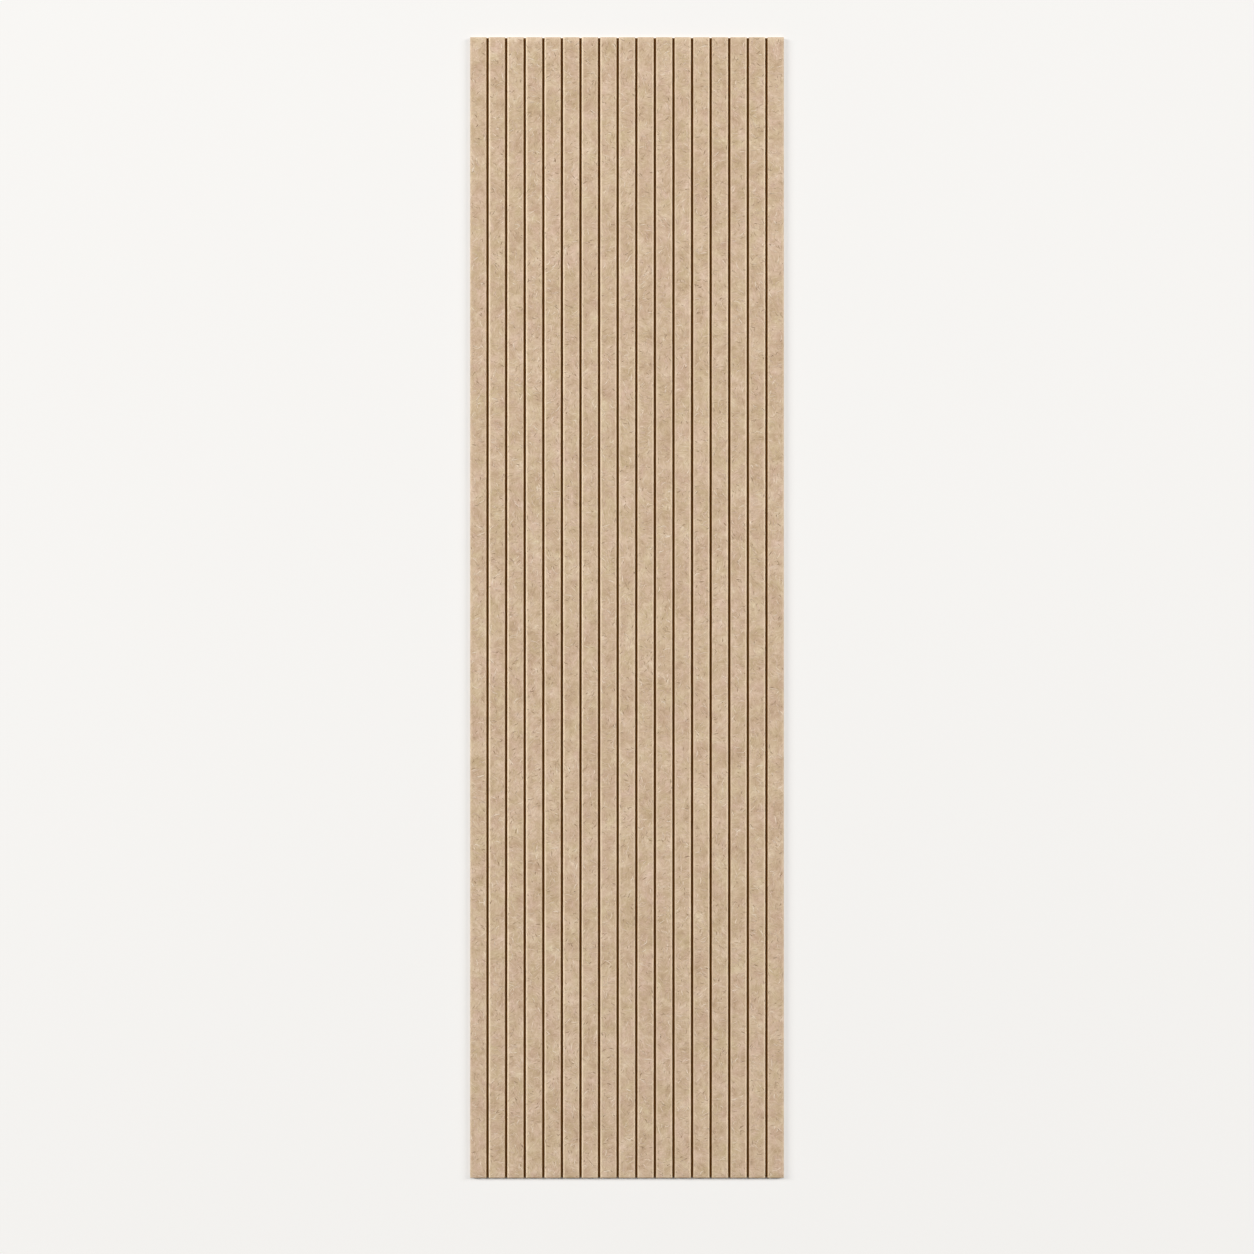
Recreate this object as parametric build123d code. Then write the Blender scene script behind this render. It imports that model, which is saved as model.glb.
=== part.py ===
"""Grooved acoustic panel: one board of pressed fibre felt, with straight kerfs cut into its face.

The kerfs run the whole length of the board and leave a row of equal flat slats between them, all
still joined by the uncut felt behind. The panel lies on its back with the slats facing up.

Frame: the origin is the middle of the back, X across the slats, Y along them, +Z out of the face.
All sizes are in millimetres.
"""

import os

from build123d import *

# Driving dimensions
BOARD_LENGTH = 2400.0  # along the slats, as the boards are pressed and sold
BOARD_WIDTH = 660.0  # across the slats
BOARD_THICKNESS = 12.0  # back to face
SLAT_COUNT = 17  # flat strips across the face, all alike
KERF_WIDTH = 5.0  # the cutter's width
KERF_DEPTH = 8.0  # below the face
KERF_ROOT_RADIUS = 0.6  # where a kerf's walls meet its floor
ARRIS_RADIUS = 1.2  # soft edge all round the face of every slat

# What follows from them
KERF_COUNT = SLAT_COUNT - 1
SLAT_WIDTH = (BOARD_WIDTH - KERF_COUNT * KERF_WIDTH) / SLAT_COUNT  # from kerf wall to kerf wall
SLAT_PITCH = SLAT_WIDTH + KERF_WIDTH
WEB_THICKNESS = BOARD_THICKNESS - KERF_DEPTH  # felt left behind a kerf


def make_board():
    """The uncut board, lying on its back."""
    return Box(BOARD_WIDTH, BOARD_LENGTH, BOARD_THICKNESS, align=(Align.CENTER, Align.CENTER, Align.MIN))


def make_kerf():
    """What the cutter takes out in one pass: a slot with rounded root corners, as long as the board."""
    slot = Rectangle(KERF_WIDTH, KERF_DEPTH, align=(Align.CENTER, Align.MIN))
    root_corners = slot.vertices().group_by(Axis.Y)[0]
    section = fillet(root_corners, KERF_ROOT_RADIUS)
    return extrude(Plane.XZ * section, BOARD_LENGTH / 2, both=True)


def face_of_slats(panel):
    """The flat tops of the slats: the highest faces that look up."""
    return panel.faces().filter_by(Axis.Z).group_by(Axis.Z)[-1]


def make_panel():
    """The board with its row of kerfs cut and the edges of every slat's face eased."""
    kerf = Pos(0, 0, WEB_THICKNESS) * make_kerf()
    kerfs = [place * kerf for place in GridLocations(SLAT_PITCH, 0, KERF_COUNT, 1)]
    cut = make_board() - kerfs
    return fillet(face_of_slats(cut).edges(), ARRIS_RADIUS)


def main():
    panel = make_panel()
    os.makedirs("parts", exist_ok=True)
    export_step(panel, "parts/felt_panel.step")
    size = panel.bounding_box().size
    print(f"felt_panel: {size.X:.1f} x {size.Y:.1f} x {size.Z:.1f} mm")
    print(f"  {len(face_of_slats(panel))} slats of {SLAT_WIDTH:.2f} mm, {panel.volume / 1e6:.3f} litres of felt")


main()
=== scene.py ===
# %% [markdown]
# # A grooved wall panel of pressed felt
#
# The object is one board of beige fibre felt, 2.4 m long and only 12 mm thick. A cutter has run down its
# face and left straight, narrow grooves, so that the face reads as a row of flat slats. On a wall it
# takes the echo out of a room. Here it lies on its back on a pale floor, and the camera looks down on it.
#
# The solid board was drawn elsewhere and is loaded as a fixed frame. This lesson gives it its looks: a
# felt surface that is not quite flat, the heathered colour of pressed fibres, and wisps that lie on top.

# %% Load the board as it was drawn
import math

import bpy
import numpy as np
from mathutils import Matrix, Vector


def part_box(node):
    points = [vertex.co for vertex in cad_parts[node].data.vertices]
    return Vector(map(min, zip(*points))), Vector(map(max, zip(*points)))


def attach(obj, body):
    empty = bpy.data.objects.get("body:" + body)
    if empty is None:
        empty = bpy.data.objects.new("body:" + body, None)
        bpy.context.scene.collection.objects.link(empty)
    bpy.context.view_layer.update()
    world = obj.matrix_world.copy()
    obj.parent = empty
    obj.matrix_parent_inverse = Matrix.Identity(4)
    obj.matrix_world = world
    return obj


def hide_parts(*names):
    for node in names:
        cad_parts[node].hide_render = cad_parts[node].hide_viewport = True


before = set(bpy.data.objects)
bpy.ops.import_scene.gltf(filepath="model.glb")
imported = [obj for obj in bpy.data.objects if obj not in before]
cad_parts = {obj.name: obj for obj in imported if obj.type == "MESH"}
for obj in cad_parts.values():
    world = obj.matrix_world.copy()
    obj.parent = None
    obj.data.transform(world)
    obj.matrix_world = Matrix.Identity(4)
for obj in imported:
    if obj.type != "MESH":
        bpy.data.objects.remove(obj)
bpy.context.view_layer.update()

MM = 0.001  # one millimetre, in Blender's metres
print("CAD nodes:", sorted(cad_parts))

# %% [markdown]
# ## The sizes of the section
#
# The outer sizes come from the loaded board, and the few that a box cannot tell are named here, in
# metres. Every other place across the board follows from these, so that a slat can never drift off the
# solid that it covers.

# %% Sizes across the board
SLAT_COUNT = 17
KERF_WIDTH = 5.0 * MM  # a kerf is the groove that one pass of the cutter leaves
KERF_DEPTH = 8.0 * MM
KERF_ROOT_RADIUS = 0.6 * MM
ARRIS_RADIUS = 1.2 * MM  # an arris is the edge where a slat's face meets its wall

BOARD_LOW, BOARD_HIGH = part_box("felt_panel")
BOARD_WIDTH, BOARD_LENGTH, BOARD_THICKNESS = BOARD_HIGH - BOARD_LOW
SLAT_WIDTH = (BOARD_WIDTH - (SLAT_COUNT - 1) * KERF_WIDTH) / SLAT_COUNT
SLAT_PITCH = SLAT_WIDTH + KERF_WIDTH
FACE_Z = BOARD_HIGH.z
KERF_FLOOR_Z = FACE_Z - KERF_DEPTH
print(f"{SLAT_COUNT} slats of {SLAT_WIDTH / MM:.2f} mm, one every {SLAT_PITCH / MM:.2f} mm")

# %% [markdown]
# ## The camera
#
# The panel is seen square on, with no side of it in view, as on a page of a catalogue. A long lens from
# far off gives that flat look: straight down from five metres, the walls of the outer grooves hardly
# show. The width of the view and the place of its middle decide how much pale floor lies around. Every
# new thing has to be linked to the scene, so a small helper does both.

# %% Camera, straight above the face
VIEW_WIDTH = 2.638  # metres of the face's plane from one side of the picture to the other
VIEW_MIDDLE_Y = -0.041  # the picture's middle lies a little below the panel's
CAMERA_DISTANCE = 5.0  # from the face
SENSOR_WIDTH = 36.0  # millimetres, as in a full-frame camera


def add_object(name, data):
    """A new object in the scene, at the origin."""
    made = bpy.data.objects.new(name, data)
    bpy.context.scene.collection.objects.link(made)
    return made


camera_data = bpy.data.cameras.new("camera")
camera_data.sensor_width = SENSOR_WIDTH
camera_data.lens = SENSOR_WIDTH * CAMERA_DISTANCE / VIEW_WIDTH
camera = add_object("camera", camera_data)
camera.location = (0.0, VIEW_MIDDLE_Y, FACE_Z + CAMERA_DISTANCE)
bpy.context.scene.camera = camera
bpy.context.scene.view_settings.view_transform = "Standard"
print(f"lens {camera_data.lens:.1f} mm, {CAMERA_DISTANCE:.1f} m above the face")

# %% [markdown]
# ## Helpers for shader nodes
#
# A material in Blender is a small network of nodes. Adding each one takes several lines, so the first
# helper adds a node, sets its options and fills its sockets. A socket gets either a value or the output
# of another node, and then the helper draws the link. The others make an empty material and a blend of
# two colours, which nearly every finish needs.

# %% Helpers: shader nodes
def add_node(tree, kind, sockets=None, **options):
    """Adds a node; `sockets` maps an input's name or number to a value or to another node's output."""
    made = tree.nodes.new(kind)
    for name, value in options.items():
        setattr(made, name, value)
    for name, value in (sockets or {}).items():
        if isinstance(value, bpy.types.NodeSocket):
            tree.links.new(value, made.inputs[name])
        else:
            made.inputs[name].default_value = value
    return made


def new_material(name):
    """A material with an empty node tree and its output node."""
    material = bpy.data.materials.new(name)
    material.use_nodes = True
    material.node_tree.nodes.clear()
    output = add_node(material.node_tree, "ShaderNodeOutputMaterial")
    return material, material.node_tree, output


def blend_colours(tree, share, first, second, blend="MIX"):
    """The output of a node that blends two colours, `share` of the second."""
    options = {"data_type": "RGBA", "blend_type": blend}
    return add_node(tree, "ShaderNodeMix", {0: share, 6: first, 7: second}, **options).outputs[2]


print("helpers ready: add_node, new_material, blend_colours")

# %% [markdown]
# ## The floor
#
# A pale, matt floor carries the panel and takes its shadow. It could be a studio sweep, but seen from
# above a flat sheet does the same. It lies a hair under the board, so that the two never flicker through
# each other.

# %% Floor sheet
FLOOR_SIDE = 60.0
FLOOR_DROP = 0.2 * MM

half_side = FLOOR_SIDE / 2
floor_z = BOARD_LOW.z - FLOOR_DROP
floor_corners = [(x, y, floor_z) for x in (-half_side, half_side) for y in (-half_side, half_side)]
floor_mesh = bpy.data.meshes.new("floor")
floor_mesh.from_pydata(floor_corners, [], [(0, 2, 3, 1)])
floor = add_object("floor", floor_mesh)
print(f"floor: {FLOOR_SIDE:.0f} m square, {FLOOR_DROP / MM:.1f} mm under the board")

# %% [markdown]
# ## The floor's paint
#
# The floor's own colour makes the background pale, and the lamps stay at a level where every colour comes
# out about as it is written. One flat colour would look drawn, so a slow noise blends two pale tones into
# a faint cloudiness.

# %% Floor paint
FLOOR_PALE = (0.925, 0.912, 0.892, 1.0)
FLOOR_CLOUD = (0.895, 0.880, 0.860, 1.0)
FLOOR_FINISH = {"Roughness": 0.9, "Specular IOR Level": 0.1}
CLOUD_SCALE = 0.7  # clouds in a metre

floor_material, tree, output = new_material("pale_floor")
place = add_node(tree, "ShaderNodeTexCoord").outputs["Object"]
cloud = add_node(tree, "ShaderNodeTexNoise", {"Vector": place, "Scale": CLOUD_SCALE, "Detail": 2.0})
tint = blend_colours(tree, cloud.outputs["Fac"], FLOOR_PALE, FLOOR_CLOUD)
paint = add_node(tree, "ShaderNodeBsdfPrincipled", {"Base Color": tint, **FLOOR_FINISH})
floor_mesh.materials.append(floor_material)
print(f"floor paint: {len(tree.nodes)} nodes")

# %% [markdown]
# ## The floor's glow
#
# At that level of light a floor looks a little grey. So part of what the camera sees of it is an even
# glow: none close to the panel, where its shadow has to show, about half around it, and nothing but glow
# a few metres off, so that the background stays pale out to the horizon. Light on its way to other
# surfaces doesn't meet the glow, so it puts none on the felt. The distance is measured from the panel's
# outline, by nodes that do the sum for every spot of the floor.

# %% Helper: rays that see the background
def seen_directly(tree):
    """1 for rays from the camera, a mirror or glass, and 0 for light on its way to other surfaces."""
    ray = add_node(tree, "ShaderNodeLightPath").outputs
    mirrored = {0: ray["Is Glossy Ray"], 1: ray["Is Transmission Ray"]}
    mirrored = add_node(tree, "ShaderNodeMath", mirrored, operation="MAXIMUM").outputs[0]
    either = {0: ray["Is Camera Ray"], 1: mirrored}
    return add_node(tree, "ShaderNodeMath", either, operation="MAXIMUM").outputs[0]


print("helper ready: seen_directly")

# %% Floor glow
BACKDROP = (0.910, 0.897, 0.875, 1.0)  # the glow of the floor and the sky behind it
NEAR_GLOW = 0.55  # share of the glow around the panel
CONTACT_SIDE, CONTACT_END = -3 * MM, 4 * MM  # out from the panel's sides and ends, where the glow begins
CONTACT_FADE = (0.0, 6 * MM)  # from there: no glow yet, and the share near the panel
GLOW_REACH = (0.6, 3.5)  # metres from there: the glow grows again, and is all there is
ANY_HEIGHT = 1.0  # taller than the floor's own height, so that only the way along the floor counts
NOWHERE = (0.0, 0.0, 0.0)

outline = (BOARD_WIDTH / 2 + CONTACT_SIDE, BOARD_LENGTH / 2 + CONTACT_END, ANY_HEIGHT)
apart = add_node(tree, "ShaderNodeVectorMath", {0: place}, operation="ABSOLUTE").outputs[0]
apart = add_node(tree, "ShaderNodeVectorMath", {0: apart, 1: outline}, operation="SUBTRACT").outputs[0]
apart = add_node(tree, "ShaderNodeVectorMath", {0: apart, 1: NOWHERE}, operation="MAXIMUM").outputs[0]
apart = add_node(tree, "ShaderNodeVectorMath", {0: apart}, operation="LENGTH").outputs["Value"]
glow_share = seen_directly(tree)
for (start, end), least in ((CONTACT_FADE, 0.0), (GLOW_REACH, NEAR_GLOW)):
    limits = {"Value": apart, "From Min": start, "From Max": end, "To Min": least}
    grown = add_node(tree, "ShaderNodeMapRange", limits, interpolation_type="SMOOTHSTEP").outputs[0]
    shares = {0: glow_share, 1: grown}
    glow_share = add_node(tree, "ShaderNodeMath", shares, operation="MULTIPLY").outputs[0]
glow = add_node(tree, "ShaderNodeEmission", {"Color": BACKDROP, "Strength": 1.0})
both = add_node(tree, "ShaderNodeMixShader", {0: glow_share, 1: paint.outputs[0], 2: glow.outputs[0]})
tree.links.new(both.outputs[0], output.inputs["Surface"])
print(f"floor glow: {NEAR_GLOW:.2f} around the panel, all of it from {GLOW_REACH[1]:.1f} m off")

# %% [markdown]
# ## The light
#
# Felt shows its fibres in light that comes from the side, and a groove looks deep only while its floor
# stays dark. So both softboxes stand far out to the left and right of the panel, where their light cannot
# fall straight down a groove. The left one is the stronger, because even studio light has a main side,
# and both stand a little towards the top end, which is slightly brighter.

# %% Softboxes
SOFTBOXES = {
    "softbox_left": {"place": (-12.4, 4.4, 10.8), "size": (2.4, 9.6), "level": 0.425},
    "softbox_right": {"place": (12.4, 4.4, 10.8), "size": (2.4, 9.6), "level": 0.334},
}


def add_softbox(name, place, size, level):
    """A tall lamp aimed at the panel's middle. `level` is how bright it alone makes a white board."""
    lamp = bpy.data.lights.new(name, "AREA")
    lamp.shape = "RECTANGLE"
    lamp.size, lamp.size_y = size
    box = add_object(name, lamp)
    box.location = place
    to_panel = -Vector(place)
    box.rotation_euler = to_panel.to_track_quat("-Z", "Y").to_euler()
    slant = place[2] / to_panel.length
    lamp.energy = 4 * math.pi * to_panel.length_squared * level / slant
    box.visible_camera = False
    return lamp


for name, settings in SOFTBOXES.items():
    lamp = add_softbox(name, **settings)
    print(f"{name}: {lamp.energy:.0f} W")

# %% [markdown]
# ## The sky
#
# Two lamps alone would leave the shadows hard, so the sky adds a weak, even fill from all round. The
# camera and mirror-like surfaces see a pale backdrop in its place, in the colour of the floor's glow, so
# that floor and sky meet without a seam.

# %% Sky
SKY_LEVEL = 0.10
SKY_FILL = (1.0, 0.985, 0.96, 1.0)

sky = bpy.data.worlds.new("studio_sky")
sky.use_nodes = True
tree = sky.node_tree
tree.nodes.clear()
fill = add_node(tree, "ShaderNodeBackground", {"Color": SKY_FILL, "Strength": SKY_LEVEL})
backdrop = add_node(tree, "ShaderNodeBackground", {"Color": BACKDROP, "Strength": 1.0})
skies = {0: seen_directly(tree), 1: fill.outputs[0], 2: backdrop.outputs[0]}
either = add_node(tree, "ShaderNodeMixShader", skies)
add_node(tree, "ShaderNodeOutputWorld", {"Surface": either.outputs[0]})
bpy.context.scene.world = sky
print(f"sky fill {SKY_LEVEL:.2f}, softboxes {sum(box['level'] for box in SOFTBOXES.values()):.2f}")

# %% [markdown]
# ## The section of the board
#
# Cut across, the board is a comb: flat slats, rounded at their arrises, with narrow kerfs between them
# whose roots are rounded too. One list of points from the lower left corner, over the face, to the lower
# right corner describes it. The flat of a slat has a narrow cell at each side, as wide as the pale line
# that the cutter leaves along an arris.

# %% Helpers: outlines of a slat and of a kerf
FLAT_CELLS = 8  # across the flat of one slat
ARRIS_CELLS = 3
ROOT_CELLS = 2
PALE_BAND = 3.0 * MM  # from the arris into the flat
WALL_BREAK = 3.5 * MM  # below the face, where a kerf's wall has one more row of points


def arc(centre_x, centre_z, radius, from_angle, to_angle, cells):
    """Points on a round corner, from one angle to another, both ends included."""
    angles = np.radians(np.linspace(from_angle, to_angle, cells + 1))
    return [(centre_x + radius * math.cos(a), centre_z + radius * math.sin(a)) for a in angles]


def slat_points(left, right):
    """Over one slat: left arris, flat face, right arris."""
    arris_z = FACE_Z - ARRIS_RADIUS
    inset = ARRIS_RADIUS + PALE_BAND
    points = arc(left + ARRIS_RADIUS, arris_z, ARRIS_RADIUS, 180, 90, ARRIS_CELLS)
    points += [(x, FACE_Z) for x in np.linspace(left + inset, right - inset, FLAT_CELLS - 1)]
    return points + arc(right - ARRIS_RADIUS, arris_z, ARRIS_RADIUS, 90, 0, ARRIS_CELLS)


def kerf_points(left, right):
    """Through one kerf: down its left wall, along its floor and up its right wall."""
    root_z = KERF_FLOOR_Z + KERF_ROOT_RADIUS
    points = [(left, FACE_Z - WALL_BREAK)]
    points += arc(left + KERF_ROOT_RADIUS, root_z, KERF_ROOT_RADIUS, 180, 270, ROOT_CELLS)
    points += arc(right - KERF_ROOT_RADIUS, root_z, KERF_ROOT_RADIUS, 270, 360, ROOT_CELLS)
    return points + [(right, FACE_Z - WALL_BREAK)]


print("helpers ready: arc, slat_points, kerf_points")

# %% Points of the section
section = [(BOARD_LOW.x, BOARD_LOW.z)]
for slat in range(SLAT_COUNT):
    slat_left = BOARD_LOW.x + slat * SLAT_PITCH
    slat_right = slat_left + SLAT_WIDTH
    section += slat_points(slat_left, slat_right)
    if slat < SLAT_COUNT - 1:
        section += kerf_points(slat_right, slat_right + KERF_WIDTH)
section.append((BOARD_HIGH.x, BOARD_LOW.z))
section_x, section_z = np.array(section).T
print(f"section: {len(section)} points")

# %% [markdown]
# ## Soft noise
#
# Pressed felt is thicker where a tuft of fibres lies and thinner beside it. To raise such tufts in the
# mesh, a smooth random height is needed for any place on the board. The oldest recipe is enough: random
# numbers on a square grid, blended smoothly between the grid's points. A seed makes each run alike.

# %% Helper: smooth random values
NOISE_GRID = 1024


def soft_noise(x, y, size, seed):
    """Smooth random values from -1 to 1, for arrays of places, with bumps about `size` across."""
    grid = np.random.default_rng(seed).uniform(-1, 1, (NOISE_GRID, NOISE_GRID))
    column, row = np.floor(x / size).astype(int), np.floor(y / size).astype(int)
    across, along = x / size - column, y / size - row
    across, along = (t * t * (3 - 2 * t) for t in (across, along))
    left, right = column % NOISE_GRID, (column + 1) % NOISE_GRID
    below, above = row % NOISE_GRID, (row + 1) % NOISE_GRID
    lower = grid[below, left] * (1 - across) + grid[below, right] * across
    upper = grid[above, left] * (1 - across) + grid[above, right] * across
    return lower * (1 - along) + upper * along


print(f"soft noise: {NOISE_GRID} by {NOISE_GRID} random numbers for each seed")

# %% [markdown]
# ## The shape of the face
#
# Everything that lies on the board needs to know how high the face is at a place: flat on a slat, falling
# off in a quarter circle at each arris, and about a tenth of a millimetre up or down where a tuft lies.
# Both are functions of the place alone, so the board and the fibres on it can never come apart.

# %% Height of the face
TUFT_HEIGHT = 0.16 * MM
LARGE_TUFTS = {"size": 21 * MM, "seed": 3}
SMALL_TUFTS = {"size": 11 * MM, "seed": 4}
LARGE_SHARE, SMALL_SHARE = 0.6, 0.4
TUFT_CAP = 0.5  # of the height, where the press has flattened the tufts


def arris_drop(x):
    """How far the rounded arris lies below the face, and how near to the face it is, from 0 to 1."""
    across = (x - BOARD_LOW.x) % SLAT_PITCH
    from_wall = np.minimum(across, SLAT_WIDTH - across)
    short_of_flat = np.clip(ARRIS_RADIUS - from_wall, 0, ARRIS_RADIUS)
    drop = ARRIS_RADIUS - np.sqrt(ARRIS_RADIUS**2 - short_of_flat**2)
    return drop, 1 - drop / ARRIS_RADIUS


def felt_relief(x, y):
    """How far the tufts lift or lower the pressed face at each place."""
    tufts = LARGE_SHARE * soft_noise(x, y, **LARGE_TUFTS) + SMALL_SHARE * soft_noise(x, y, **SMALL_TUFTS)
    return TUFT_HEIGHT * np.minimum(tufts, TUFT_CAP)


def face_height(x, y):
    """The height of the finished face over the floor, arrises included."""
    drop, nearness = arris_drop(x)
    return FACE_Z - drop + nearness * felt_relief(x, y)


print(f"relief along the section: {np.ptp(felt_relief(section_x, np.zeros_like(section_x))) / MM:.2f} mm")

# %% [markdown]
# ## Rows of points
#
# The section could be extruded in one step, but then the face would be dead flat. Instead it is
# repeated in many rows down the board, and the rows near both ends sink in a quarter circle, because the
# ends of the slats are eased as well.

# %% Rows down the board
ROWS = 250
END_CELLS = 3

end_angles = np.radians(np.linspace(0, 90, END_CELLS + 1))
end_inset = ARRIS_RADIUS * (1 - np.cos(end_angles))
end_drop = ARRIS_RADIUS * (1 - np.sin(end_angles))
middle_rows = np.linspace(BOARD_LOW.y + ARRIS_RADIUS, BOARD_HIGH.y - ARRIS_RADIUS, ROWS + 1)[1:-1]
row_y = np.concatenate([BOARD_LOW.y + end_inset, middle_rows, (BOARD_HIGH.y - end_inset)[::-1]])
row_drop = np.concatenate([end_drop, np.zeros(len(middle_rows)), end_drop[::-1]])
print(f"{len(row_y)} rows, one about every {BOARD_LENGTH / ROWS / MM:.1f} mm")

# %% [markdown]
# ## Tufts and wandering cuts
#
# The tufts lift the face, and the walls of a kerf wander by a tenth of a millimetre, as a cutter's path
# does in a soft board. Only the walls of the kerfs move: the board's own sides were trimmed straight, and
# they stay where the solid has them.

# %% Points of the board
KERF_WANDER = 0.12 * MM
WANDER_LENGTH = 26 * MM
WANDER_SEEDS = (21, 22)  # for the left and the right edges of the slats
ARRIS_EDGE = 1.01 * ARRIS_RADIUS  # a hair more than the arris, so that rounding leaves no point out
KERF_SHARE = 0.25  # of a kerf's width, beside a slat's left wall, that is counted with that slat

x, y = np.meshgrid(section_x, row_y)
z = np.minimum(section_z[None, :], FACE_Z - row_drop[:, None])
near_face = np.clip((section_z - FACE_Z + ARRIS_RADIUS) / ARRIS_RADIUS, 0, 1)
z = z + near_face[None, :] * felt_relief(x, y)

slat_number = np.floor((section_x - BOARD_LOW.x + KERF_SHARE * KERF_WIDTH) / SLAT_PITCH)
from_slat_left = section_x - BOARD_LOW.x - slat_number * SLAT_PITCH
left_edge = from_slat_left < ARRIS_EDGE
right_edge = from_slat_left > SLAT_WIDTH - ARRIS_EDGE
on_outside = np.minimum(section_x - BOARD_LOW.x, BOARD_HIGH.x - section_x) < ARRIS_EDGE
for seed, edge in zip(WANDER_SEEDS, (left_edge, right_edge)):
    wander = KERF_WANDER * soft_noise(x, y, WANDER_LENGTH, seed)
    x = x + wander * (edge & ~on_outside)[None, :]
row_count, column_count = x.shape
print(f"{row_count} rows of {column_count} points")

# %% [markdown]
# ## From points to a closed board
#
# Four neighbouring points make a small face. The back is one strip of long faces from side to side, and
# each end is a single face with the section's outline, so the mesh is closed. Smooth shading hides the
# small faces, and an edge that turns by more than fifty degrees, as along the back, stays sharp.

# %% Felt board
SHARP_ANGLE = 50  # degrees

vertices = np.stack([x, y, z], axis=-1).reshape(-1, 3)
index = np.arange(row_count * column_count).reshape(row_count, column_count)
face_quads = np.stack([index[:-1, :-1], index[:-1, 1:], index[1:, 1:], index[1:, :-1]], axis=-1)
back_quads = np.stack([index[:-1, -1], index[:-1, 0], index[1:, 0], index[1:, -1]], axis=-1)
ends = [index[0, ::-1].tolist(), index[-1].tolist()]
board_faces = face_quads.reshape(-1, 4).tolist() + back_quads.tolist() + ends

board_mesh = bpy.data.meshes.new("felt_board")
board_mesh.from_pydata(vertices.tolist(), [], board_faces)
board_mesh.shade_smooth()
board_mesh.set_sharp_from_angle(angle=math.radians(SHARP_ANGLE))
board = add_object("felt_board", board_mesh)
board_mesh.calc_loop_triangles()
print(f"felt board: {len(vertices)} vertices, {len(board_mesh.loop_triangles)} triangles")

# %% [markdown]
# ## Where the felt is pale
#
# Felt is not the same all over. The cutter opens the fibres along each arris, and the broken ends there
# are a little paler. On top of that, a painted highlight stands for the light that the rounded arris
# catches, and the two make a thin pale line. The line comes and goes along the board. The painted highlight
# makes it strongest on the edge of a slat that looks away from the middle of the board, as if each half
# were lit from its own side. A weaker one runs along the board's own long edges, and along its upper end as
# a painted highlight of the light that comes from that end.

# %% Pale line
# painted highlight: the leans make the pale line stronger on the edges that look away from the middle, as
# light from each side would
LEFT_PALE, LEFT_HIGHLIGHT_LEAN = 0.58, -0.62  # left edges of slats: share in the middle, and what the right side adds
RIGHT_PALE, RIGHT_HIGHLIGHT_LEAN = 0.46, 0.35  # the same for the right edges of the slats
EDGE_LEAST = 0.25  # the least share on any edge beside a kerf
OUTER_PALE_AND_HIGHLIGHT = 0.25  # on the board's own long edges and its upper end
PALE_RISE = 1.25  # the line is full on the upper fifth of an arris, and fades out below it
EDGE_FADE = 0.25  # how much the line comes and goes
FADE_LENGTH, FADE_SEED = 45 * MM, 31

outwards = section_x / (BOARD_WIDTH / 2)
strength = np.where(left_edge, LEFT_PALE + LEFT_HIGHLIGHT_LEAN * outwards, RIGHT_PALE + RIGHT_HIGHLIGHT_LEAN * outwards)
strength = np.where(on_outside, OUTER_PALE_AND_HIGHLIGHT, np.clip(strength, EDGE_LEAST, 1))
strength = strength * (left_edge | right_edge) * np.clip(near_face * PALE_RISE, 0, 1)
fade = 1 + EDGE_FADE * soft_noise(x, y, FADE_LENGTH, FADE_SEED)
# painted highlight: the upper end gets a pale edge, as if lit from that end
top_highlight = OUTER_PALE_AND_HIGHLIGHT * (row_y > BOARD_HIGH.y - ARRIS_EDGE)
arris_pale_and_highlight = np.clip(np.maximum(strength[None, :], top_highlight[:, None]) * fade, 0, 1)
print(f"arris line: {arris_pale_and_highlight[arris_pale_and_highlight > 0].mean():.2f} pale on average")

# %% [markdown]
# ## Where the felt is brown
#
# Below the pale line, and on the sawn ends, the felt turns brown. This is painted shade, which darkens the
# foot of each arris and the ends as the shadow of a groove would. Two attributes, one number for each
# corner of a face, hold the pale line with its painted highlight and this painted shade, and the material
# reads them by name. The corners of a face have numbers of their own, so an end can be brown right up to
# its edge.

# %% Attributes: pale arris and cut
# painted shade: brown at the foot of each arris and on the sawn ends, deepening their shadow
CUT_SHADE_START, CUT_SHADE_SLOPE = 1.3, 1.6  # the brown is full at the foot of an arris, and none at its top
END_CUT_SHADE = 0.5  # of the colour of a cut, on the sawn ends

cut_shade_across = np.clip(CUT_SHADE_START - near_face * CUT_SHADE_SLOPE, 0, 1) * ~on_outside
cut_shade_at_ends = np.sqrt(row_drop / ARRIS_RADIUS)
cut_shade_values = np.maximum(cut_shade_across[None, :], cut_shade_at_ends[:, None])
corner_vertices = np.zeros(len(board_mesh.loops), np.int32)
board_mesh.loops.foreach_get("vertex_index", corner_vertices)


def store_values(name, values, at_ends):
    """Keeps one number for each corner of the board's faces, the same all over the two ends."""
    corner_values = values.ravel()[corner_vertices]
    corner_values[-2 * column_count:] = at_ends
    attribute = board_mesh.attributes.new(name, "FLOAT", "CORNER")
    attribute.data.foreach_set("value", corner_values.astype(np.float32))


store_values("arris", arris_pale_and_highlight, 0.0)
store_values("cut", cut_shade_values, END_CUT_SHADE)
print(f"attributes on {len(corner_vertices)} corners: arris, cut")

# %% [markdown]
# ## Fibres in the colour
#
# Seen from a few metres, felt is a heather: paler and darker strokes that lie side by side in tufts, each
# tuft combed its own way. A plain noise looks like clouds instead. So the board is parted into cells
# about the size of a tuft, every cell turns the coordinates by its own random angle, and a noise that is
# stretched along one axis then draws strokes in that direction.

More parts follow.
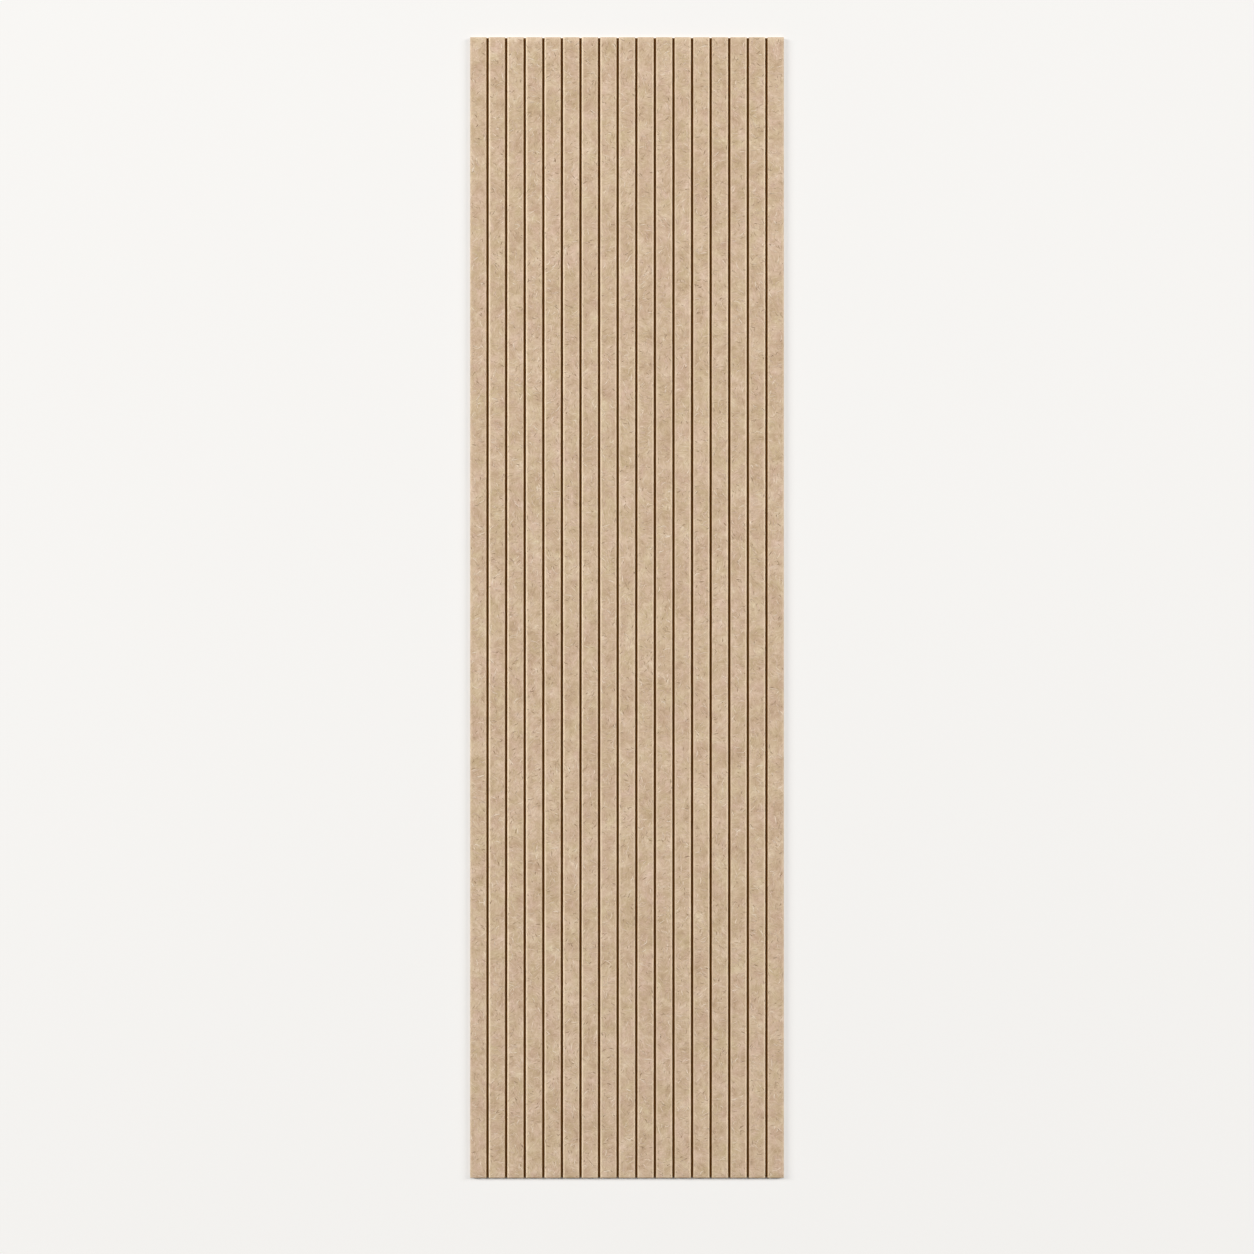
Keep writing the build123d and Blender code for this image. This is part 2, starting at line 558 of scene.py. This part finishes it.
# %% Helper: combed tufts
def combed_tufts(tree, place, tuft, stroke_length, stroke_width, shift):
    """Strokes of fibre, from 0 to 1, combed in a random direction inside each tuft. Sizes in metres."""
    moved = add_node(tree, "ShaderNodeVectorMath", {0: place, 1: shift}, operation="ADD").outputs[0]
    cells = add_node(tree, "ShaderNodeTexVoronoi", {"Vector": moved, "Scale": 1 / tuft})
    random = add_node(tree, "ShaderNodeSeparateColor", {0: cells.outputs["Color"]}).outputs[0]
    angle = add_node(tree, "ShaderNodeMath", {0: random, 1: 2 * math.pi}, operation="MULTIPLY").outputs[0]
    spin = {"Vector": moved, "Angle": angle}
    turned = add_node(tree, "ShaderNodeVectorRotate", spin, rotation_type="Z_AXIS").outputs[0]
    stretch = {0: turned, 1: (1 / stroke_length, 1 / stroke_width, 1 / stroke_width)}
    combed = add_node(tree, "ShaderNodeVectorMath", stretch, operation="MULTIPLY").outputs[0]
    strokes = {"Vector": combed, "Scale": 1.0, "Detail": 1.0, "Roughness": 0.5}
    return add_node(tree, "ShaderNodeTexNoise", strokes).outputs["Fac"]


print("helper ready: combed_tufts")

# %% [markdown]
# ## Adding up and colouring
#
# Several such patterns lie over each other in felt. One helper adds them up, each with its own weight, so
# that the sum still swings about a half. The other turns that sum into colours, along a ramp from dark to
# pale.

# %% Helpers: weighted sum and colour ramp
def weighted_sum(tree, terms):
    """Adds up outputs that swing about a half, each times its weight, and comes out about a half too."""
    total = 0.5
    for socket, weight in terms:
        swing = add_node(tree, "ShaderNodeMath", {0: socket, 1: 0.5}, operation="SUBTRACT")
        sockets = {0: swing.outputs[0], 1: weight, 2: total}
        total = add_node(tree, "ShaderNodeMath", sockets, operation="MULTIPLY_ADD").outputs[0]
    return total


def colour_ramp(tree, factor, stops):
    """A ramp of colours over a factor, from a list of positions and colours."""
    ramp = add_node(tree, "ShaderNodeValToRGB", {"Fac": factor})
    elements = ramp.color_ramp.elements
    for number, (position, colour) in enumerate(stops):
        stop = elements[number] if number < 2 else elements.new(position)
        stop.position = position
        stop.color = colour
    return ramp.outputs["Color"]


print("helpers ready: weighted_sum, colour_ramp")

# %% [markdown]
# ## The tone of the felt
#
# Four patterns make the tone at a place: long strokes, short strokes, a mottle as fine as single tufts,
# and a slow change over a hand's width. All but the last are bent a little by a warp, because fibres
# never lie quite straight.

# %% Felt: tone
BEND_SCALE = 30.0  # waves in a metre, as for the other scales
BEND_REACH = (20 * MM, 20 * MM, 20 * MM)
NOISE_MIDDLE = (0.5, 0.5, 0.5)
LONG_STROKES = {"tuft": 30 * MM, "stroke_length": 16 * MM, "stroke_width": 2.2 * MM}
SHORT_STROKES = {"tuft": 18 * MM, "stroke_length": 8 * MM, "stroke_width": 1.4 * MM}
LONG_SHIFT, SHORT_SHIFT = (0.0, 0.0, 0.0), (3.7, 1.3, 0.4)  # metres, so that the two patterns differ
MOTTLE = {"Scale": 45.0, "Detail": 3.0, "Roughness": 0.6}
SLOW_CHANGE = {"Scale": 7.0, "Detail": 2.0}
LONG_WEIGHT, SHORT_WEIGHT, MOTTLE_WEIGHT, SLOW_WEIGHT = 0.6, 0.4, 1.06, 0.2

felt, tree, output = new_material("heathered_felt")
place = add_node(tree, "ShaderNodeTexCoord").outputs["Object"]
bend = add_node(tree, "ShaderNodeTexNoise", {"Vector": place, "Scale": BEND_SCALE, "Detail": 1.0})
bend = {0: bend.outputs["Color"], 1: NOISE_MIDDLE}
bend = add_node(tree, "ShaderNodeVectorMath", bend, operation="SUBTRACT").outputs[0]
warp = {0: bend, 1: BEND_REACH, 2: place}
warped = add_node(tree, "ShaderNodeVectorMath", warp, operation="MULTIPLY_ADD").outputs[0]

long_strokes = combed_tufts(tree, warped, shift=LONG_SHIFT, **LONG_STROKES)
short_strokes = combed_tufts(tree, warped, shift=SHORT_SHIFT, **SHORT_STROKES)
mottle = add_node(tree, "ShaderNodeTexNoise", {"Vector": warped, **MOTTLE}).outputs["Fac"]
slow = add_node(tree, "ShaderNodeTexNoise", {"Vector": place, **SLOW_CHANGE}).outputs["Fac"]
strokes = [(long_strokes, LONG_WEIGHT), (short_strokes, SHORT_WEIGHT)]
tone = weighted_sum(tree, strokes + [(mottle, MOTTLE_WEIGHT), (slow, SLOW_WEIGHT)])
print(f"felt tone: {len(tree.nodes)} nodes so far")

# %% [markdown]
# ## The felt of the face
#
# The colours run from a dusty brown to cream, and the tone chooses between them. Two batches of fibre
# were mixed for this board, one a little rosy and one a little yellow, so another noise tints patches
# about as wide as a thumb. The two attributes then lay the pale line with its painted highlight and the
# painted shade of the cuts over it. Felt has no gloss. A little sheen stands for the fine hairs that light
# up when the board is seen along its face.

# %% Felt: colours and finish
TONES = [
    (0.00, (0.400, 0.264, 0.158, 1.0)),
    (0.30, (0.525, 0.380, 0.252, 1.0)),
    (0.50, (0.604, 0.453, 0.314, 1.0)),
    (0.70, (0.690, 0.538, 0.394, 1.0)),
    (1.00, (0.850, 0.722, 0.578, 1.0)),
]
HUES = [(0.25, (1.000, 0.955, 1.000, 1.0)), (0.75, (0.966, 0.985, 0.905, 1.0))]
BATCHES = {"Scale": 32.0, "Detail": 1.0}
# painted shade: the lighter brown of the cuts, at the foot of each arris and on the ends
CUT_SHADE_BROWN = (0.480, 0.290, 0.108, 1.0)
# the colour of the pale line: partly paler broken fibres, partly a painted highlight on the arris
ARRIS_PALE_AND_HIGHLIGHT = (0.985, 0.802, 0.578, 1.0)
FELT_FINISH = {"Roughness": 0.95, "Specular IOR Level": 0.15}
FELT_SHEEN = {"Sheen Weight": 0.04, "Sheen Roughness": 0.5, "Sheen Tint": (1.0, 0.9, 0.78, 1.0)}
FELT_BUMP = {"Strength": 0.5, "Distance": 0.6 * MM}

heather = colour_ramp(tree, tone, TONES)
batch = add_node(tree, "ShaderNodeTexNoise", {"Vector": warped, **BATCHES}).outputs["Fac"]
tinted = blend_colours(tree, 1.0, heather, colour_ramp(tree, batch, HUES), "MULTIPLY")
arris = add_node(tree, "ShaderNodeAttribute", attribute_name="arris").outputs["Fac"]
edged = blend_colours(tree, arris, tinted, ARRIS_PALE_AND_HIGHLIGHT)
cut = add_node(tree, "ShaderNodeAttribute", attribute_name="cut").outputs["Fac"]
edged = blend_colours(tree, cut, edged, CUT_SHADE_BROWN)
bump = add_node(tree, "ShaderNodeBump", {"Height": tone, **FELT_BUMP}).outputs[0]
sockets = {"Base Color": edged, "Normal": bump, **FELT_FINISH, **FELT_SHEEN}
surface = add_node(tree, "ShaderNodeBsdfPrincipled", sockets)
tree.links.new(surface.outputs[0], output.inputs["Surface"])
board_mesh.materials.append(felt)
print(f"felt material: {len(tree.nodes)} nodes")

# %% [markdown]
# ## The felt of the cuts
#
# Inside a kerf the walls are painted darker and browner than the face. This is painted shade, which deepens
# the groove's own shadow. It has no sheen, or the groove would look dusty. It is a second material on the
# same mesh, for the walls, roots and floors of the kerfs. Its lighter brown is the one that the face's felt
# turns to at the foot of an arris, so the two meet without a hard step.

# %% Cut felt material
# painted shade: the darker brown of the kerfs' walls, roots and floors
CUT_SHADE_DARK = (0.365, 0.208, 0.064, 1.0)
FIBRE_ENDS = {"Scale": 300.0, "Detail": 2.0}
CUT_BUMP = {"Strength": 0.4, "Distance": 0.3 * MM}

shaded_cut_felt, tree, output = new_material("shaded_cut_felt")
place = add_node(tree, "ShaderNodeTexCoord").outputs["Object"]
fibre_ends = add_node(tree, "ShaderNodeTexNoise", {"Vector": place, **FIBRE_ENDS}).outputs["Fac"]
brown = blend_colours(tree, fibre_ends, CUT_SHADE_DARK, CUT_SHADE_BROWN)
bump = add_node(tree, "ShaderNodeBump", {"Height": fibre_ends, **CUT_BUMP}).outputs[0]
surface = add_node(tree, "ShaderNodeBsdfPrincipled", {"Base Color": brown, "Normal": bump, **FELT_FINISH})
tree.links.new(surface.outputs[0], output.inputs["Surface"])
board_mesh.materials.append(shaded_cut_felt)
print(f"cut felt material: {len(tree.nodes)} nodes")

# %% Which faces are cut felt
ARRIS_FOOT = FACE_Z - 0.99 * ARRIS_RADIUS  # a hair above the foot of the arrises, against rounding

in_kerf = np.maximum(section_z[:-1], section_z[1:]) < ARRIS_FOOT
in_kerf[[0, -1]] = False  # the board's own sides keep the felt of the face
back_and_ends = np.zeros(len(back_quads) + len(ends), bool)
slots = np.concatenate([np.tile(in_kerf, row_count - 1), back_and_ends])
board_mesh.polygons.foreach_set("material_index", slots.astype(np.int32))
print(f"cut felt on {in_kerf.sum()} of {column_count - 1} strips of the section")

# %% [markdown]
# ## A map for the board's colours
#
# A copy of the board for other programs carries its colours in one square picture, and a map says which
# spot of the picture belongs to which spot of the board. Laid out straight, a board nearly four times as
# long as wide would leave most of the square empty. So the map folds the face into two halves side by
# side, squeezes the kerfs, and gives the back and the ends the narrow strip that is left.

# %% Colour map: the face
HALF_WIDTH = 0.40  # of the square, for each half of the face
HALF_STEP = 0.42
KERF_SQUEEZE = 0.3

strip = np.hypot(np.diff(section_x), np.diff(section_z)) * np.where(in_kerf, KERF_SQUEEZE, 1.0)
over = np.concatenate([[0.0], np.cumsum(strip)]) / strip.sum()
fold = row_count // 2
share_y = (row_y - BOARD_LOW.y) / BOARD_LENGTH
half = np.arange(row_count - 1) >= fold
half_low = np.where(half, share_y[fold], 0.0)
half_high = np.where(half, 1.0, share_y[fold])
lower = (share_y[:-1] - half_low) / (half_high - half_low)
upper = (share_y[1:] - half_low) / (half_high - half_low)

face_map = np.zeros((row_count - 1, column_count - 1, 4, 2))
face_map[..., [0, 3], 0] = over[None, :-1, None]
face_map[..., [1, 2], 0] = over[None, 1:, None]
face_map[..., 0] = face_map[..., 0] * HALF_WIDTH + (half * HALF_STEP)[:, None, None]
face_map[..., [0, 1], 1] = lower[:, None, None]
face_map[..., [2, 3], 1] = upper[:, None, None]
print(f"face folded after row {fold} of {row_count}")

# %% Colour map: the back and the ends
BACK_START, BACK_WIDTH = 0.85, 0.10
END_START, END_WIDTH, END_LENGTH = 0.965, 0.03, 0.48

back_map = np.zeros((row_count - 1, 4, 2))
back_map[..., 0] = BACK_START + BACK_WIDTH * np.array([0, 1, 1, 0])
back_map[:, :2, 1] = share_y[:-1, None]
back_map[:, 2:, 1] = share_y[1:, None]
end_across = END_START + END_WIDTH * section_z / BOARD_THICKNESS
end_along = END_LENGTH * (section_x - BOARD_LOW.x) / BOARD_WIDTH
lower_end = np.stack([end_across, end_along], axis=-1)[::-1]
upper_end = np.stack([end_across, 1 - end_along], axis=-1)
board_map = np.concatenate([part.reshape(-1, 2) for part in (face_map, back_map, lower_end, upper_end)])
board_mesh.uv_layers.new(name="OFBake").uv.foreach_set("vector", board_map.ravel().astype(np.float32))
print(f"colour map: {len(board_map)} corners, from {board_map.min():.2f} to {board_map.max():.2f}")

# %% [markdown]
# ## Wisps of fibre
#
# The heather in the colour is flat. On the real board bundles of fibre lie on the pressed face, each a
# little curved and a few millimetres to a fingertip long, and they catch the light. They could be curves,
# but thousands of closed strands are quicker to make from arrays. Each wisp here has a spine of five
# points that turns evenly, and it is shifted as a whole where it would hang over the edge of its slat.

# %% Helpers: spines that stay on a slat
SPINE_POINTS = 5
END_MARGIN = 3 * MM  # kept free at the ends of the board


def bend_spines(x, y, heading, turn, length):
    """The points and directions along each wisp, which turns evenly from its first point to its last."""
    share = np.linspace(-0.5, 0.5, SPINE_POINTS)
    between = heading[:, None] + turn[:, None] * (share[:-1] + share[1:]) / 2
    step = length[:, None] / (SPINE_POINTS - 1)
    start = np.zeros((len(x), 1))
    across = np.hstack([start, np.cumsum(np.cos(between) * step, axis=1)])
    along = np.hstack([start, np.cumsum(np.sin(between) * step, axis=1)])
    spine_x = x[:, None] + across - across.mean(axis=1, keepdims=True)
    spine_y = y[:, None] + along - along.mean(axis=1, keepdims=True)
    return spine_x, spine_y, heading[:, None] + turn[:, None] * share


def keep_between(places, low, high):
    """Shifts each spine as a whole, so that none of its points passes the limits."""
    places = places + np.maximum(low - places.min(axis=1, keepdims=True), 0)
    return places - np.maximum(places.max(axis=1, keepdims=True) - high, 0)


def keep_on_slats(spine_x, spine_y, slat, margin):
    """Keeps every spine on the face of its own slat, a margin away from the walls and the ends."""
    slat_left = BOARD_LOW.x + slat[:, None] * SLAT_PITCH
    spine_x = keep_between(spine_x, slat_left + margin, slat_left + SLAT_WIDTH - margin)
    return spine_x, keep_between(spine_y, BOARD_LOW.y + END_MARGIN, BOARD_HIGH.y - END_MARGIN)


print(f"a wisp has {SPINE_POINTS} points along its spine")

# %% [markdown]
# ## The body of a wisp
#
# A round strand would need many faces, and nobody would see them. A low roof with three sides is enough:
# a left edge, a crown and a right edge, which run out to a point at both ends. The edges lie a little
# below the face, so that no wisp floats, and the underside is closed as well.

# %% Helpers: faces and points of the wisps
WISP_TAPER = np.array([0.75, 1.0, 0.75])  # the width at the three inner points of a spine
WISP_SINK = 0.10 * MM  # how deep the edges of a wisp lie in the felt
WISP_POINTS = 2 + 3 * len(WISP_TAPER)


def wisp_faces(count):
    """The faces of `count` wisps: three sides between two tips, each wisp closed."""
    tip, last = 0, WISP_POINTS - 1
    rings = [(first, first + 1, first + 2) for first in range(1, last, 3)]
    triangles, quads = [], []
    for a, b in ((0, 1), (1, 2), (2, 0)):
        triangles += [(tip, rings[0][b], rings[0][a]), (rings[-1][a], rings[-1][b], last)]
        quads += [(here[a], here[b], after[b], after[a]) for here, after in zip(rings, rings[1:])]
    base = WISP_POINTS * np.arange(count)[:, None, None]
    all_triangles = (base + np.array(triangles)).reshape(-1, 3)
    all_quads = (base + np.array(quads)).reshape(-1, 4)
    return all_triangles.tolist() + all_quads.tolist()


def wisp_points(spine_x, spine_y, angle, width, height):
    """The points of all wisps: a tip, three rings of left edge, crown and right edge, and a tip."""
    half = width[:, None] / 2 * WISP_TAPER
    ring_x, ring_y, ring_angle = spine_x[:, 1:-1], spine_y[:, 1:-1], angle[:, 1:-1]
    points = np.zeros((len(spine_x), WISP_POINTS, 3))
    for part, side, lift in ((0, 1, -WISP_SINK), (1, 0, None), (2, -1, -WISP_SINK)):
        x = ring_x - side * half * np.sin(ring_angle)
        y = ring_y + side * half * np.cos(ring_angle)
        z = face_height(x, y) + (height[:, None] * WISP_TAPER if lift is None else lift)
        points[:, 1 + part:-1:3] = np.stack([x, y, z], axis=-1)
    for tip in (0, -1):
        x, y = spine_x[:, tip], spine_y[:, tip]
        points[:, tip] = np.stack([x, y, face_height(x, y) - WISP_SINK / 2], axis=-1)
    return points


print(f"a wisp has {WISP_POINTS} points and {len(wisp_faces(1))} faces")

# %% [markdown]
# ## Many wisps as one object
#
# Thousands of objects would slow everything down, so all wisps of one dye share a mesh. Each keeps its own
# shade, as an attribute, and its own small cell in the map for copies that carry their colours in a
# picture.

# %% Helpers: map and object of the wisps
CELL_MARGIN = 0.1  # of a wisp's cell in the map, left free on each side


def wisp_map(count):
    """A cell of the square for each wisp, for the copies that carry their colours in a picture."""
    cells = math.ceil(math.sqrt(count))
    share = np.linspace(0, 1, SPINE_POINTS)
    along = np.concatenate([share[:1], np.repeat(share[1:-1], 3), share[-1:]])
    across = np.array([0.5] + [0.0, 0.5, 1.0] * len(WISP_TAPER) + [0.5])
    in_cell = np.stack([along, across], axis=-1) * (1 - 2 * CELL_MARGIN) + CELL_MARGIN
    number = np.arange(count)
    corner = np.stack([number % cells, number // cells], axis=-1)
    return ((corner[:, None, :] + in_cell) / cells).reshape(-1, 2)


def lay_wisps(name, spine, width, height, shade, material):
    """Makes one object of many wisps, with their shade as an attribute."""
    points = wisp_points(*spine, width, height)
    mesh = bpy.data.meshes.new(name)
    mesh.from_pydata(points.reshape(-1, 3).tolist(), [], wisp_faces(len(points)))
    mesh.shade_smooth()
    attribute = mesh.attributes.new("shade", "FLOAT", "POINT")
    attribute.data.foreach_set("value", np.repeat(shade, WISP_POINTS).astype(np.float32))
    corner_points = np.zeros(len(mesh.loops), np.int32)
    mesh.loops.foreach_get("vertex_index", corner_points)
    corners = wisp_map(len(points))[corner_points]
    mesh.uv_layers.new(name="OFBake").uv.foreach_set("vector", corners.ravel().astype(np.float32))
    mesh.materials.append(material)
    mesh.calc_loop_triangles()
    print(f"{name}: {len(points)} wisps, {len(mesh.loop_triangles)} triangles")
    return add_object(name, mesh)


print("helpers ready: wisp_map, lay_wisps")

# %% [markdown]
# ## The dye of a wisp
#
# Fibres of one dye never come out quite alike. The material of a dye blends a plain colour, close to the
# face, with a strong one, and each wisp's shade says how far. Finish and sheen are those of the felt.

# %% Helper: fibre material
def fibre_material(name, plain, strong):
    """Fibres of one dye, each between a plain and a strong colour."""
    material, tree, output = new_material(name)
    shade = add_node(tree, "ShaderNodeAttribute", attribute_name="shade").outputs["Fac"]
    sockets = {"Base Color": blend_colours(tree, shade, plain, strong), **FELT_FINISH, **FELT_SHEEN}
    surface = add_node(tree, "ShaderNodeBsdfPrincipled", sockets)
    tree.links.new(surface.outputs[0], output.inputs["Surface"])
    return material


print("helper ready: fibre_material")

# %% [markdown]
# ## The wisps on the slats
#
# Four dyes make the heather: cream, honey, rose and brown. Cream wisps are the longest, and the brown ones
# are short and broad, like specks. Most are close to the colour of the face and only a few are strongly
# dyed, so that they fleck the heather and don't cover it. Neighbours lie in nearly the same direction,
# because the felt was needled in swirls, so a slow noise gives the direction and chance adds a little.

# %% Four dyes
WISPS = {
    "cream_wisps": {"count": 5600, "length": (8, 22), "width": (1.2, 2.4), "seed": 41,
                    "plain": (0.655, 0.510, 0.372, 1.0), "strong": (0.875, 0.760, 0.625, 1.0)},
    "honey_wisps": {"count": 5600, "length": (8, 20), "width": (1.0, 2.2), "seed": 42,
                    "plain": (0.600, 0.455, 0.295, 1.0), "strong": (0.700, 0.555, 0.375, 1.0)},
    "rose_wisps": {"count": 5200, "length": (8, 20), "width": (1.0, 2.2), "seed": 43,
                   "plain": (0.610, 0.445, 0.336, 1.0), "strong": (0.715, 0.535, 0.425, 1.0)},
    "brown_wisps": {"count": 6000, "length": (5, 14), "width": (1.2, 2.5), "seed": 44,
                    "plain": (0.510, 0.368, 0.245, 1.0), "strong": (0.265, 0.166, 0.096, 1.0)},
}  # lengths and widths in millimetres
print("wisps in all:", sum(look["count"] for look in WISPS.values()))

# %% Wisps on the slats
RARITY = 2.5  # the higher, the fewer wisps come near their strong colour
WISP_MARGIN = 1.8 * MM
WISP_HEIGHT = (0.20 * MM, 0.32 * MM)
SWIRL_SIZE, SWIRL_SEED = 55 * MM, 51
SWIRL_TURN = 1.2 * math.pi  # the most that a swirl turns a wisp, in radians as for the spreads
HEADING_SPREAD = 0.5
BEND_SPREAD = 1.2


def scatter_wisps(count, length, width, seed):
    """Spines, widths, heights and shades of wisps that lie anywhere on the slats."""
    chance = np.random.default_rng(seed)
    slat = chance.integers(0, SLAT_COUNT, count)
    x = BOARD_LOW.x + slat * SLAT_PITCH + chance.uniform(0, SLAT_WIDTH, count)
    y = chance.uniform(BOARD_LOW.y, BOARD_HIGH.y, count)
    swirl = SWIRL_TURN * soft_noise(x, y, SWIRL_SIZE, SWIRL_SEED)
    heading = swirl + chance.normal(0, HEADING_SPREAD, count)
    turn = chance.normal(0, BEND_SPREAD, count)
    spine_x, spine_y, angle = bend_spines(x, y, heading, turn, chance.uniform(*length, count) * MM)
    spine_x, spine_y = keep_on_slats(spine_x, spine_y, slat, WISP_MARGIN)
    width = chance.uniform(*width, count) * MM
    height = chance.uniform(*WISP_HEIGHT, count)
    shade = chance.uniform(0, 1, count)**RARITY
    return (spine_x, spine_y, angle), width, height, shade


pieces = []
for name, look in WISPS.items():
    material = fibre_material(name.replace("wisps", "fibre"), look["plain"], look["strong"])
    scattered = scatter_wisps(look["count"], look["length"], look["width"], look["seed"])
    pieces.append(lay_wisps(name, *scattered, material))

# %% [markdown]
# ## The fuzz along the arrises
#
# Where the cutter broke the fibres, short pale ends lie along each arris. They are wisps too, only
# shorter, combed along the cut. They are partly a painted highlight: their pale colour helps draw an arris
# that catches the light, and more of them lie on the edges that look away from the middle, as light from
# each side would pick out. The board's own long edges have none, so a hair that would fall there goes to
# the other edge of its slat.

# %% Places of the fuzz
FUZZ_COUNT = 9600
FUZZ_SEED = 61
FUZZ_REACH = (0.6 * MM, 3.0 * MM)  # from the wall into the face
# painted highlight: more fuzz on the edges that look away from the middle, as if lit from that side
FUZZ_RIGHT, FUZZ_HIGHLIGHT_LEAN = 0.45, 0.7  # share on right edges in the middle, and how it grows to the right

chance = np.random.default_rng(FUZZ_SEED)
slat = chance.integers(0, SLAT_COUNT, FUZZ_COUNT)
lean = (slat - (SLAT_COUNT - 1) / 2) / SLAT_COUNT
on_right = chance.uniform(0, 1, FUZZ_COUNT) < FUZZ_RIGHT + FUZZ_HIGHLIGHT_LEAN * lean
outside = np.where(on_right, slat == SLAT_COUNT - 1, slat == 0)
on_right = on_right ^ outside
reach = chance.uniform(*FUZZ_REACH, FUZZ_COUNT)
fuzz_x = BOARD_LOW.x + slat * SLAT_PITCH + np.where(on_right, SLAT_WIDTH - reach, reach)
fuzz_y = chance.uniform(BOARD_LOW.y, BOARD_HIGH.y, FUZZ_COUNT)
print(f"fuzz: {on_right.sum()} hairs on right edges, {FUZZ_COUNT - on_right.sum()} on left edges")

# %% Arris fuzz
FUZZ_LENGTH = (4, 11)  # millimetres, as for the wisps
FUZZ_WIDTH = (0.4, 0.9)
FUZZ_HEADING_SPREAD = 0.22  # radians off the line of the cut
FUZZ_BEND_SPREAD = 0.3
FUZZ_MARGIN = 0.3 * MM
# pale colours of the fuzz: partly broken fibre ends, partly a painted highlight on the arris
BROKEN_ENDS_HIGHLIGHT_PLAIN = (0.770, 0.605, 0.425, 1.0)
BROKEN_ENDS_HIGHLIGHT_STRONG = (0.920, 0.748, 0.540, 1.0)

heading = math.pi / 2 + chance.normal(0, FUZZ_HEADING_SPREAD, FUZZ_COUNT)
turn = chance.normal(0, FUZZ_BEND_SPREAD, FUZZ_COUNT)
fuzz_length = chance.uniform(*FUZZ_LENGTH, FUZZ_COUNT) * MM
spine_x, spine_y, angle = bend_spines(fuzz_x, fuzz_y, heading, turn, fuzz_length)
spine = (*keep_on_slats(spine_x, spine_y, slat, FUZZ_MARGIN), angle)
fuzz_width = chance.uniform(*FUZZ_WIDTH, FUZZ_COUNT) * MM
fuzz_height = chance.uniform(*WISP_HEIGHT, FUZZ_COUNT)
fuzz_shade = chance.uniform(0, 1, FUZZ_COUNT)
broken_ends_highlight = fibre_material("broken_ends_highlight", BROKEN_ENDS_HIGHLIGHT_PLAIN, BROKEN_ENDS_HIGHLIGHT_STRONG)
pieces.append(lay_wisps("arris_fuzz", spine, fuzz_width, fuzz_height, fuzz_shade, broken_ends_highlight))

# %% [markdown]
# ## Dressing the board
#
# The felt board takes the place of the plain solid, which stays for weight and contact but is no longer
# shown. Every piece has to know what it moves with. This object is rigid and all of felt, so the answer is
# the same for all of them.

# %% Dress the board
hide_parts("felt_panel")
for piece in [board, *pieces]:
    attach(piece, "root")
print("pieces:", ", ".join(piece.name for piece in [board, *pieces]))
